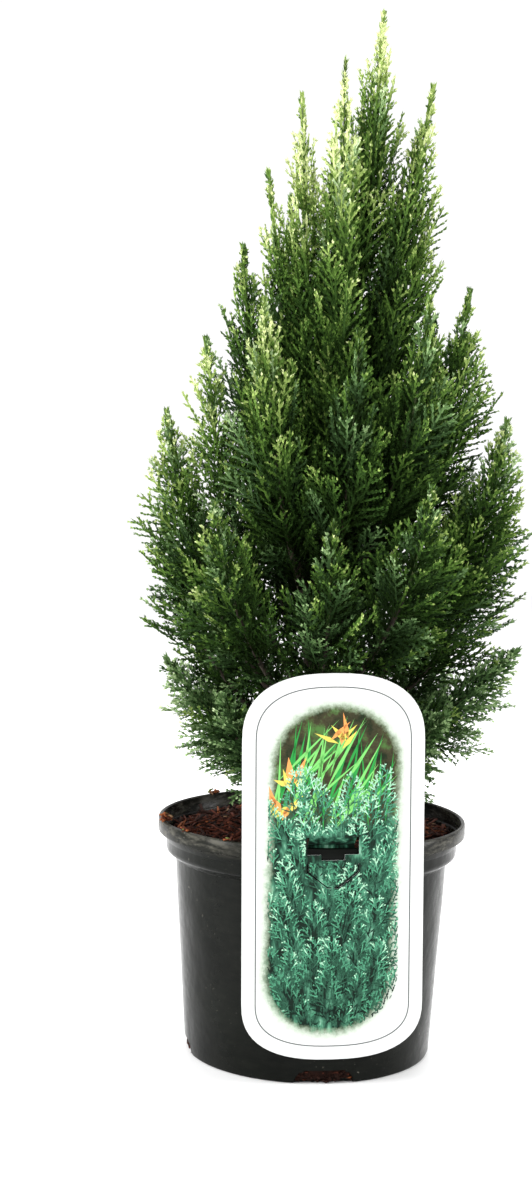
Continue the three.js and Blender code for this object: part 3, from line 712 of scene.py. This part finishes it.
def limb_with_bark(line, radii, sides, rng, relief):
    """A limb whose skin runs in long shallow ridges and flakes."""
    steps = len(line)
    ridge = np.zeros((steps, sides))
    along = np.arange(steps)[:, None] / steps
    for wave in range(5):
        count = rng.integers(4, 11)
        drift = rng.uniform(-4, 4)
        ridge += np.cos(count * circle(sides) + drift * along + rng.uniform(0, 6.3)) / (wave + 1.5)
    ridge += rng.normal(0, 0.55, (steps, sides))
    return tube(line, radii.reshape(steps, -1) * (1 + relief * (ridge - 0.6)), sides)


def tapered(limb, ts):
    return limb.radius + (limb.tip - limb.radius) * ts


def build_limbs():
    rng = np.random.default_rng(SEED + 1)
    bark = bark_material()
    sides = 40
    ts = np.linspace(0, 1, 170)
    line = np.array([catmull_rom(TRUNK_KNOTS, t) for t in ts])
    radii = np.stack([trunk_radius(t, circle(sides)) for t in ts])
    link("trunk_bark", limb_with_bark(line, radii, sides, rng, 0.045), bark, ["trunk"])
    boughs, woody, green = [], [], []
    for plume in PLUMES:
        if plume.bough:
            ts = np.linspace(0, 1, 40)
            boughs.append(limb_with_bark(bezier(*plume.bough, ts), tapered(BOUGH, ts), 14, rng, 0.05))
        for low, high, parts in ((0.0, 0.55, woody), (0.53, 1.0, green)):
            ts = np.linspace(low, high, 14)
            parts.append(tube(plume.at(ts), tapered(STEM, ts), 6))
    link("boughs_bark", joined(boughs), bark, BOUGHS)
    link("stems_woody", joined(woody), bark)
    link("stems_green", joined(green), stem_material())


# ---- Pot ----
def pot_material():
    """Black plastic with a film and specks of dust, rubbed pale on the ledge and flange, bar the card's
    painted shadow.
    """
    m = Nodes("black_pot_plastic", Specular_IOR_Level=0.07)
    place = m.place()
    x, y, z = m.parts(place)
    facing = m.parts(m.add("ShaderNodeNewGeometry").outputs["Normal"])["Z"]
    cloud = m.noise(28.0, 5.0, 0.6, place)
    specks = m.ramp(m.noise(620.0, 2.0, 0.5, place), (0.70, 0.0), (0.76, 1.0))
    scuffs = m.noise(120.0, 6.0, 0.7, m.moved(place, Scale=(1, 1, 3.5)))
    edge = m.ramp(m.over(m.length(x, y), POT.rim * MM), (0.978, 0.0), (0.99, 1.0))
    # Painted shadow of the card: the rim behind it gets no dust or rubbing and stays dark
    rim_out_of_card_shadow = m.ramp(m.plus(m.over(y, POT.rim * MM), 1.0), (0.06, 0.0), (0.2, 1.0))  # none behind the card
    ledge = m.times(m.ramp(facing, (0.35, 0.0), (0.9, 1.0)), m.ramp(scuffs, (0.35, 0.25), (0.65, 1.0)),
                    edge, rim_out_of_card_shadow)
    band = m.ramp(m.over(z, POT.height * MM), (0.92, 0.04), (0.95, 1.0))
    rubbed = m.times(m.ramp(scuffs, (0.44, 0.08), (0.66, 1.0)), band, rim_out_of_card_shadow)
    speckled = m.times(specks, m.ramp(cloud, (0.42, 0.0), (0.62, 0.5)))
    dusty = m.most(m.times(ledge, 0.25), m.times(rubbed, 0.33), speckled)
    film = m.ramp(cloud, (0.3, (0.002, 0.0025, 0.002)), (0.75, (0.005, 0.006, 0.0045)))
    m.to("Base Color", m.mix(dusty, film, (0.19, 0.18, 0.145)))
    m.to("Roughness", m.plus(m.ramp(scuffs, (0.3, 0.14), (0.75, 0.26)), m.times(dusty, 0.4), clamp=True))
    dents = m.times(m.noise(42.0, 3.0, 0.5, place), 9.0)
    m.bump(m.plus(m.noise(260.0, 5.0, 0.6, place), dents), 0.25, 0.0004)
    return m.material


def data_of(name, mesh):
    data = bpy.data.meshes.new(name)
    mesh.to_mesh(data)
    mesh.free()
    return data


def pot_shell():
    """The pot turned from its profile, which runs from the underside up over the rim and down inside."""
    rim, lip, top = POT.rim, POT.lip, POT.height
    collar, foot, shoulder, base = POT.collar, POT.collar_foot, POT.shoulder, POT.base
    wall, floor, under = POT.wall, POT.floor, top - POT.flange_drop
    profile = [
        (0, 0.6), (base - 9, 0.6), (base - 8.4, 0), (base - 1.6, 0), (base - 0.5, 0.4), (base, 1.5),
        (base + 1.55, 24), (base + 3.0, 46), (base + 4.4, 66), (shoulder - 0.25, foot - 2.6),
        (shoulder + 0.3, foot - 2.0), (collar - 1.3, foot - 0.3), (collar - 0.3, foot + 0.6),
        (collar, foot + 2.0), (collar + 0.05, under - 1.0), (collar + 0.5, under), (rim - 0.7, under),
        (rim - 0.15, under + 0.25), (rim, under + 0.8), (rim, top - 1.2), (rim - 0.3, top - 0.4),
        (rim - 1.0, top), (rim - lip + 0.5, top), (rim - lip, top - 0.5), (rim - lip - 0.3, under),
        (collar - wall, foot + 2), (shoulder - wall, foot - 2), (base - wall, floor), (0, floor)]
    mesh = bmesh.new()
    sides = 144
    axis = [mesh.verts.new((0, 0, z * MM)) for r, z in (profile[0], profile[-1])]
    rings = [[mesh.verts.new((r * cos(a) * MM, r * sin(a) * MM, z * MM))
              for a in (2 * pi * s / sides for s in range(sides))] for r, z in profile[1:-1]]
    pairs = [(s, (s + 1) % sides) for s in range(sides)]
    for low, high in zip(rings, rings[1:]):
        for s, n in pairs:
            mesh.faces.new((low[s], low[n], high[n], high[s]))
    for s, n in pairs:
        mesh.faces.new((axis[0], rings[0][n], rings[0][s]))
        mesh.faces.new((axis[1], rings[-1][s], rings[-1][n]))
    return data_of("pot_shell", mesh)


def drain_cutter():
    """Round-edged blocks at the pot's foot, each narrower at its top."""
    mesh = bmesh.new()
    narrow, wide = DRAIN.top, 2 * DRAIN.foot - DRAIN.top
    for i in range(DRAIN.count):
        made = bmesh.ops.create_cube(mesh, size=1)
        for v in made["verts"]:
            x, y, z = v.co
            width = narrow if z > 0 else wide
            v.co = Vector((POT.base + x * DRAIN.depth, y * width, z * 2 * DRAIN.height)) * MM
            v.co.rotate(Matrix.Rotation(radians(DRAIN.first + 360 / DRAIN.count * i), 4, "Z"))
        mesh.normal_update()
        edges = {e for v in made["verts"] for e in v.link_edges}
        bmesh.ops.bevel(mesh, geom=list(edges), offset=DRAIN.bevel * MM, segments=3, affect="EDGES")
    bmesh.ops.recalc_face_normals(mesh, faces=mesh.faces)
    return data_of("drain_cutter", mesh)


def build_pot():
    pot = link("pot_shell", pot_shell(), pot_material(), ["pot"])
    tool = bpy.data.objects.new("drain_cutter", drain_cutter())
    bpy.context.collection.objects.link(tool)
    cut = pot.modifiers.new("drains", "BOOLEAN")
    cut.object, cut.operation, cut.solver = tool, "DIFFERENCE", "EXACT"
    shaped = bpy.data.meshes.new_from_object(pot.evaluated_get(bpy.context.evaluated_depsgraph_get()))
    pot.modifiers.clear()
    pot.data = shaped
    shaped.polygons.foreach_set("use_smooth", [True] * len(shaped.polygons))
    shaped.set_sharp_from_angle(angle=radians(38))
    bpy.data.objects.remove(tool)


# ---- Compost ----
def crumb_material(name, dark, light):
    m = Nodes(name, Roughness=0.9, Specular_IOR_Level=0.12)
    grain = m.noise(500.0, 5.0, 0.7)
    m.to("Base Color", m.ramp(grain, (0.3, dark), (0.72, light)))
    m.bump(grain, 0.7, 0.0006)
    return m.material


def soil_height(x, y):
    """The compost's surface: a low mound with lumps, sunk a little at the wall."""
    r = np.hypot(x, y)
    lumps = (np.sin(x * 0.31 + 1.2) * np.cos(y * 0.27) + 0.7 * np.sin(x * 0.71 + y * 0.53)
             + 0.5 * np.cos(x * 1.3 - y * 1.1) + 0.35 * np.sin(x * 2.3) * np.cos(y * 2.1 + 0.4))
    return SOIL_TOP - 0.6 - 1.2 * (r / 60) ** 2 + 0.42 * lumps


def chips(rng, count, long, wide, thick, radius, lift):
    """Shreds of bark lying every way on the compost: bent slivers of twelve corners, each a closed solid."""
    faces = []
    for a in range(8):
        b = a // 4 * 4 + (a + 1) % 4
        faces += [(a, b, b + 4), (a, b + 4, a + 4)]
    faces = np.array(faces + [(0, 3, 2), (0, 2, 1), (8, 9, 10), (8, 10, 11)])
    parts = []
    for _ in range(count):
        r, a = radius * sqrt(rng.random()), rng.uniform(0, 2 * np.pi)
        x, y = r * cos(a), r * sin(a)
        turn, tilt, roll = rng.uniform(0, np.pi), rng.normal(0, 0.22), rng.normal(0, 0.5)
        length, width, depth = rng.uniform(*long), rng.uniform(*wide), rng.uniform(*thick)
        u = np.array((cos(turn) * cos(tilt), sin(turn) * cos(tilt), sin(tilt)))
        level = unit(np.cross((0, 0, 1), u))
        v = level * cos(roll) + np.cross(u, level) * sin(roll)
        w = np.cross(u, v)
        ends = rng.uniform(0.35, 1.0, 3)
        rings = []
        for f, e in zip((-0.5, rng.uniform(-0.1, 0.15), 0.5), ends):
            c = u * length * f + w * depth * rng.normal(0, 0.5)
            rings.append([c + v * width * e * p + w * depth * e * q
                          for p, q in ((-0.5, -0.5), (0.5, -0.4), (0.45, 0.5), (-0.5, 0.4))])
        points = np.array(rings).reshape(-1, 3)
        low = points[:, 2].min()
        z = float(soil_height(x, y)) + rng.uniform(-0.3, lift)
        points += (x, y, z - low * 0.55)
        spare = np.hypot(points[:, 0], points[:, 1]).max() - radius
        if spare > 0:
            points[:, :2] *= (radius - 0.1) / (radius + spare)
        parts.append((points, faces))
    return joined(parts)


def fibres(rng, count, radius):
    parts = []
    for _ in range(count):
        r, a = radius * sqrt(rng.random()), rng.uniform(0, 2 * np.pi)
        x, y, turn = r * cos(a), r * sin(a), rng.uniform(0, 2 * np.pi)
        length, bend = rng.uniform(5, 13), rng.normal(0, 0.09)
        f = np.linspace(0, 1, 7)
        heading = turn + bend * length * f
        step = length / 6
        px = x + np.cumsum(np.cos(heading)) * step - length / 2 * cos(turn)
        py = y + np.cumsum(np.sin(heading)) * step - length / 2 * sin(turn)
        far = np.maximum(np.hypot(px, py) / (radius - 1), 1)
        px, py = px / far, py / far
        pz = soil_height(px, py) + 0.4 + rng.uniform(0, 1.4) * np.sin(np.pi * f)
        parts.append(tube(np.stack([px, py, pz], axis=1), np.full(7, rng.uniform(0.12, 0.24)), 3))
    return joined(parts)


def rim_bits(rng, count):
    """Bits of bark that lie on the pot's rim, most of them in one heap at the left."""
    points, faces = chips(rng, count, (1.5, 4.2), (0.7, 1.5), (0.4, 0.9), 30, 0.0)
    bits = points.reshape(count, 12, 3)
    lowest = bits[:, :, 2].min(axis=1)[:, None, None]
    bits -= bits.mean(axis=1, keepdims=True) * (1, 1, 0) + lowest * (0, 0, 1)
    heap = rng.choice(len(RIM_HEAPS), count, p=list(RIM_HEAPS.values()))
    heart = np.array(list(RIM_HEAPS))[heap] + rng.normal(0, 1.5, (count, 2))
    heart *= (np.clip(np.linalg.norm(heart, axis=1), 62.2, 64.2) / np.linalg.norm(heart, axis=1))[:, None]
    bits[:, :, :2] += heart[:, None]
    bits[:, :, 2] += POT.height - 0.05 + 2.4 * rng.random((count, 1)) ** 1.5 * (heap == 0)[:, None]
    return points, faces


def drain_crumbs(rng, count):
    """Crumbs of compost in the drain notches, none of them past the pot's wall."""
    points, faces = chips(rng, count, (1.2, 4.2), (0.8, 1.9), (0.6, 1.3), 30, 0.0)
    bits = points.reshape(count, 12, 3)
    bits -= bits.mean(axis=1, keepdims=True)
    turn = np.radians(DRAIN.first + 360 / DRAIN.count * rng.integers(0, DRAIN.count, count))
    turn += rng.uniform(-0.45, 0.45, count) * DRAIN.foot / POT.base
    deep = POT.base - rng.uniform(1.7, 2.8, count)
    middles = [deep * np.cos(turn), deep * np.sin(turn), rng.uniform(0.6, 5.2, count)]
    bits += np.stack(middles, axis=1)[:, None]
    bits[:, :, 2] += np.maximum(0.1 - bits[:, :, 2].min(axis=1), 0)[:, None]
    far = np.linalg.norm(bits[:, :, :2], axis=2, keepdims=True)
    bits[:, :, :2] *= np.minimum((POT.base - 0.8) / far, 1)
    return points, faces


def compost_bed(rng, inner):
    """The compost from the pot's floor to its lumpy top, a hair clear of the wall."""
    rings, sides = 46, 120
    angles = circle(sides)
    slack = POT.wall + 0.45
    stack = [(POT.base - slack, POT.floor + 0.3), (POT.shoulder - slack, POT.collar_foot - 2),
             (inner, POT.collar_foot + 2)]
    stack = [np.stack([r * np.cos(angles), r * np.sin(angles), np.full(sides, z)], axis=1) for r, z in stack]
    for k in range(rings + 1):
        r = inner * (1 - k / (rings + 0.6))
        x, y = r * np.cos(angles), r * np.sin(angles)
        stack.append(np.stack([x, y, soil_height(x, y) + rng.normal(0, 0.22, sides)], axis=1))
    ends = [(0, 0, POT.floor + 0.3), (0, 0, SOIL_TOP - 0.6)]
    return np.vstack(stack + [ends]), ring_faces(len(stack), sides)


def build_compost():
    rng = np.random.default_rng(SEED + 2)
    stuff = {word: crumb_material(*row) for word, row in CRUMBS.items()}
    inner = POT.collar - POT.wall - GAP - 0.2
    link("compost_bed", compost_bed(rng, inner), stuff["dark"], ["compost"])
    reach = inner - 0.4
    for word, (count, long, wide) in CHIPS.items():
        made = chips(rng, count, long, wide, (0.3, 0.9), reach, 1.0)
        link(f"chips_{word}", made, stuff[word], smooth=False)
    link("compost_fibres", fibres(rng, FIBRES, reach), stuff["red"])
    for kind, strew, counts in (("rim_bits", rim_bits, RIM_BITS),
                                ("drain_crumbs", drain_crumbs, DRAIN_CRUMBS)):
        for word, count in counts.items():
            link(f"{kind}_{word}", strew(rng, count), stuff[word], smooth=False)


# ---- Plant card ----
def card_place():
    pivot = Matrix.Translation((0, 0, POT.height * MM))
    askew = pivot @ Matrix.Rotation(radians(CARD.askew), 4, "Y") @ pivot.inverted()
    return Matrix.Rotation(radians(CARD.turn), 4, "Z") @ askew


def card_material():
    """White card with a soft-edged picture panel in foliage greens, worked out in the card's own plane."""
    m = Nodes("printed_card", Roughness=0.3, Specular_IOR_Level=0.1)
    place = m.moved(m.place(), Rotation=(0, 0, radians(-CARD.turn)))
    x, y, z = m.parts(place)
    x = m.size(m.minus(x, m.times(m.minus(z, POT.height * MM), tan(radians(-CARD.askew)))))
    tongue = m.times(m.math("LESS_THAN", x, TONGUE.half * MM), m.math("GREATER_THAN", z, TONGUE.foot * MM))
    front = m.most(m.math("LESS_THAN", y, (CARD_BACK - CARD.thick * 0.5) * MM), tongue)
    half_x, half_z, corner, middle = (size * MM for size in PICTURE)
    past_x = m.most(m.minus(x, half_x - corner), 0.0)
    past_z = m.most(m.minus(m.size(m.minus(z, middle)), half_z - corner), 0.0)
    ragged = m.times(m.noise(420.0, 5.0, 0.75, place), 5.0 * MM)
    inside = m.plus(m.minus(corner - 2.0 * MM, m.length(past_x, past_z)), m.minus(ragged, 2.5 * MM))
    mask = m.times(m.ramp(m.over(inside, 6 * MM), (0.0, 0.0), (1.0, 1.0)), front)
    ways = (m.moved(place, Rotation=(0, radians(lean), 0), Scale=(1.0, 1.0, 0.35)) for lean in (28, -34))
    strands = (m.noise(scale, 3.0, 0.55, way) for scale, way in zip((330.0, 300.0), ways))
    leafy = m.plus(m.times(m.most(*strands), 0.7), m.times(m.noise(110.0, 3.0, 0.5, place), 0.3))
    foliage = m.ramp(leafy, (0.49, (0.004, 0.013, 0.008)), (0.56, (0.020, 0.080, 0.048)),
                     (0.63, (0.07, 0.22, 0.135)), (0.71, (0.28, 0.52, 0.38)))
    ground = m.ramp(m.noise(140.0, 6.0, 0.7, place), (0.35, (0.010, 0.018, 0.007)),
                    (0.52, (0.045, 0.040, 0.020)), (0.66, (0.06, 0.14, 0.035)))
    edge = m.plus(z, m.times(m.noise(60.0, 3.0, 0.6, place), 26 * MM))
    picture = m.mix(m.ramp(m.over(edge, 170 * MM), (0.72, 1.0), (0.76, 0.0)), ground, foliage)
    halo = m.mix(mask, (0.66, 0.67, 0.66), (0.24, 0.36, 0.20))
    m.to("Base Color", m.mix(m.ramp(mask, (0.45, 0.0), (1.0, 1.0)), halo, picture))
    return m.material


def flat_material(name, color):
    m = Nodes(name, Base_Color=(*color, 1), Specular_IOR_Level=0.1)
    m.to("Roughness", m.ramp(m.noise(300.0, 3.0), (0.3, 0.24), (0.7, 0.36)))
    return m.material


def card_outline(inset):
    """The card's edge drawn in by an inset, as points (x, z) with two superelliptic arches."""
    half = CARD.width / 2 - inset
    top = CARD.foot + CARD.height
    power = 2 / CARD.square
    points = []
    for rise, level in ((CARD.crown - inset, top - CARD.crown), (inset - CARD.heel, CARD.foot + CARD.heel)):
        arc = []
        for a in np.linspace(0, np.pi, 41):
            c = cos(a)
            arc.append((half * copysign(abs(c) ** power, c), level + rise * max(sin(a), 0) ** power))
        points += arc if rise > 0 else arc[::-1]
    return np.array(points)


def print_on_card(name, points, faces, material, proud):
    """Flat print: card-plane points (x, z) in millimetres, a hair in front of the card."""
    full = np.insert(points, 1, CARD_BACK - CARD.thick - proud, axis=1)
    mesh = mesh_of(name, full, faces)
    mesh.transform(card_place())
    return link(name, mesh, material, smooth=False)


def in_picture(root, tip):
    """Whether strokes lie wholly in the card's picture, off its slot and the cut round its flap."""
    half_x, half_z, corner, middle = STROKES
    keep = np.full(len(root), True)
    for t in np.linspace(0, 1, 6):
        at = root + (tip - root) * t
        at[:, 0] = abs(at[:, 0])
        x, z = at.T
        qx, qz = np.maximum(x - half_x + corner, 0), np.maximum(abs(z - middle) - half_z + corner, 0)
        keep &= (np.hypot(qx, qz) < corner) & ((x > SLOT.half) | (z < SLOT.foot) | (z > SLOT.top))
        for a, b in zip(np.array(FLAP_CUT), np.array(FLAP_CUT[1:])):
            share = np.clip((at - a) @ (b - a) / ((b - a) @ (b - a)), 0, 1)[:, None]
            keep &= np.linalg.norm(at - a - share * (b - a), axis=1) > 0.5
    return keep


def print_strokes(name, root, tip, width, color, proud):
    """Flat pointed strokes as one piece, each widest 0.4 of the way up."""
    keep = in_picture(root, tip)
    root, tip, width, proud = (v[keep] for v in (root, tip, width, np.broadcast_to(proud, len(root))))
    along = tip - root
    side = np.stack([-along[:, 1], along[:, 0]], axis=1)
    side /= np.maximum(np.linalg.norm(along, axis=1), 1e-6)[:, None]
    middle = root + along * 0.4
    points = np.stack([root, middle - side * width, tip, middle + side * width], axis=1).reshape(-1, 2)
    faces = np.arange(len(points)).reshape(-1, 4)
    print_on_card(name, points, faces, flat_material(name, color), np.repeat(proud, 4))


def print_sprigs(rng):
    """Staggered rows of teal sprigs over the picture's lower part, each a hair in front of the one above."""
    rows, scores, layers = [], [], []
    normal = np.array((0.0, -1.0, 0.0))
    for level in range(SPRIGS.rows):
        foot = SPRIGS.top - SPRIGS.row * level
        for x in np.arange(-24 + 6 * (level % 2), 25, SPRIGS.step) + rng.uniform(-1.5, 1.5):
            a = radians(90 - 0.9 * x + rng.normal(0, 8))
            axis = np.array((cos(a), 0.0, sin(a)))
            length = SPRIGS.length * rng.uniform(0.8, 1.15)
            root = np.array((x, 0.0, foot + rng.uniform(-2, 2)))
            count = int(length / 1.9)
            for k in range(count):
                t = k / count
                turn = (1 if k % 2 else -1) * radians(38)
                along = axis * cos(turn) + np.cross(normal, axis) * sin(turn)
                size = (0.36 * length * (1 - t) ** 0.8 + 1.5) * rng.uniform(0.85, 1.1) / SPRIGS.scale
                rise = axis * 0.12 * size
                made, place = spray_rows(rng, np.zeros(3), along, np.cross(along, normal), size, rise)
                made[:, :6] = made[:, :6] * SPRIGS.scale + np.tile(root + axis * length * t, 2)
                rows.append(made)
                scores.append(0.22 * rng.random() + 0.6 * place + 0.25 * t + 0.025 * (5 - level))
                layers.append(np.full(len(made), 0.012 * level))
    rows, scores, layers = (np.concatenate(v) for v in (rows, scores, layers))
    group = np.digitize(scores, PRINT_STEPS)
    for i, (name, color) in enumerate(PRINT_TINTS):
        own = rows[group == i]
        print_strokes(name, own[:, [0, 2]], own[:, [3, 5]], own[:, 9:10] * SPRIGS.scale * 1.1, color,
                      0.03 + layers[group == i] + 0.002 * i)


def print_meadow(rng):
    """Grass blades leaning right over the picture's upper part, and a few amber leaves at its left."""

    def tips(root, angle, length):
        return root + rng.uniform(*length, (len(root), 1)) * np.hstack([np.cos(angle), np.sin(angle)])

    count = 90
    root = np.stack([rng.uniform(-26, 22, count), rng.uniform(104, 132, count)], axis=1)
    angle = np.radians(rng.uniform(38, 96, count))[:, None]
    tip = tips(root, angle, (16, 40))
    width = rng.uniform(0.4, 0.9, (count, 1))
    pale = rng.random(count) < 0.35
    for name, own, color, proud in (("print_blades", ~pale, (0.025, 0.26, 0.05), 0.02),
                                    ("print_blades_pale", pale, (0.17, 0.52, 0.13), 0.025)):
        print_strokes(name, root[own], tip[own], width[own], color, proud)
    count = 24
    heart = np.array(((-17, 124), (-21, 112), (3, 141)))[rng.integers(0, 3, count)]
    heart = heart + rng.normal(0, 1.5, (count, 2))
    angle = rng.uniform(0.4, 2.8, (count, 1))
    tip = tips(heart, angle, (7, 13))
    root = heart + 0.1 * (tip - heart)
    width = rng.uniform(0.9, 1.7, (count, 1))
    for name, own, color in (("print_amber", slice(0, 13), (0.74, 0.30, 0.09)),
                             ("print_yellow", slice(13, count), (0.62, 0.52, 0.10))):
        print_strokes(name, root[own], tip[own], width[own], color, 0.03)


def build_card():
    rng = np.random.default_rng(SEED + 3)
    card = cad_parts["plant_card"]
    card.data.materials.clear()
    card.data.materials.append(card_material())
    print_meadow(rng)
    print_sprigs(rng)
    inner, outer = card_outline(5.65), card_outline(5.2)
    count = len(inner)
    n = np.arange(count)
    faces = np.stack([n, (n + 1) % count, (n + 1) % count + count, n + count], axis=1)
    line = flat_material("print_line", (0.10, 0.11, 0.11))
    print_on_card("print_line", np.vstack([outer, inner]), faces, line, 0.03)


# ---- Camera, light and floor ----
def build_setting():
    scene = bpy.context.scene
    scene.view_settings.view_transform = "Standard"
    camera = bpy.data.cameras.new("camera")
    camera.sensor_width = CAMERA.sensor
    camera.lens = CAMERA.focal * CAMERA.sensor / CAMERA.frame
    camera.clip_end = 100
    eye = bpy.data.objects.new("camera", camera)
    aim = Matrix.Rotation(radians(90 - CAMERA.down), 4, "X") @ Matrix.Rotation(radians(CAMERA.roll), 4, "Z")
    eye.matrix_world = Matrix.Translation(CAMERA.place) @ aim
    scene.collection.objects.link(eye)
    scene.camera = eye

    world = bpy.data.worlds.new("studio")
    world.use_nodes = True
    background = world.node_tree.nodes["Background"].inputs
    background["Color"].default_value = (1, 1, 1, 1)
    background["Strength"].default_value = SKY
    scene.world = world

    for name, (place, size, power) in SOFTBOXES.items():
        light = bpy.data.lights.new(name, "AREA")
        light.shape, light.size, light.size_y, light.energy = "RECTANGLE", *size, power
        lamp = bpy.data.objects.new(name, light)
        lamp.location = place
        lamp.rotation_euler = (Vector(LIT) - Vector(place)).to_track_quat("-Z", "Y").to_euler()
        lamp.visible_camera = False
        scene.collection.objects.link(lamp)

    floor = bpy.data.meshes.new("floor")
    corners = [(x * FLOOR, y * FLOOR, 0) for x, y in ((-1, -1), (1, -1), (1, 1), (-1, 1))]
    floor.from_pydata(corners, [], [(0, 1, 2, 3)])
    m = Nodes("pale_floor", Roughness=0.6)
    m.to("Base Color", m.ramp(m.noise(3.0, 2.0), (0.3, (0.90, 0.90, 0.90)), (0.7, (0.94, 0.94, 0.94))))
    floor.materials.append(m.material)
    ground = bpy.data.objects.new("floor", floor)
    scene.collection.objects.link(ground)


build_setting()
build_pot()
build_compost()
build_card()
build_limbs()
build_foliage()
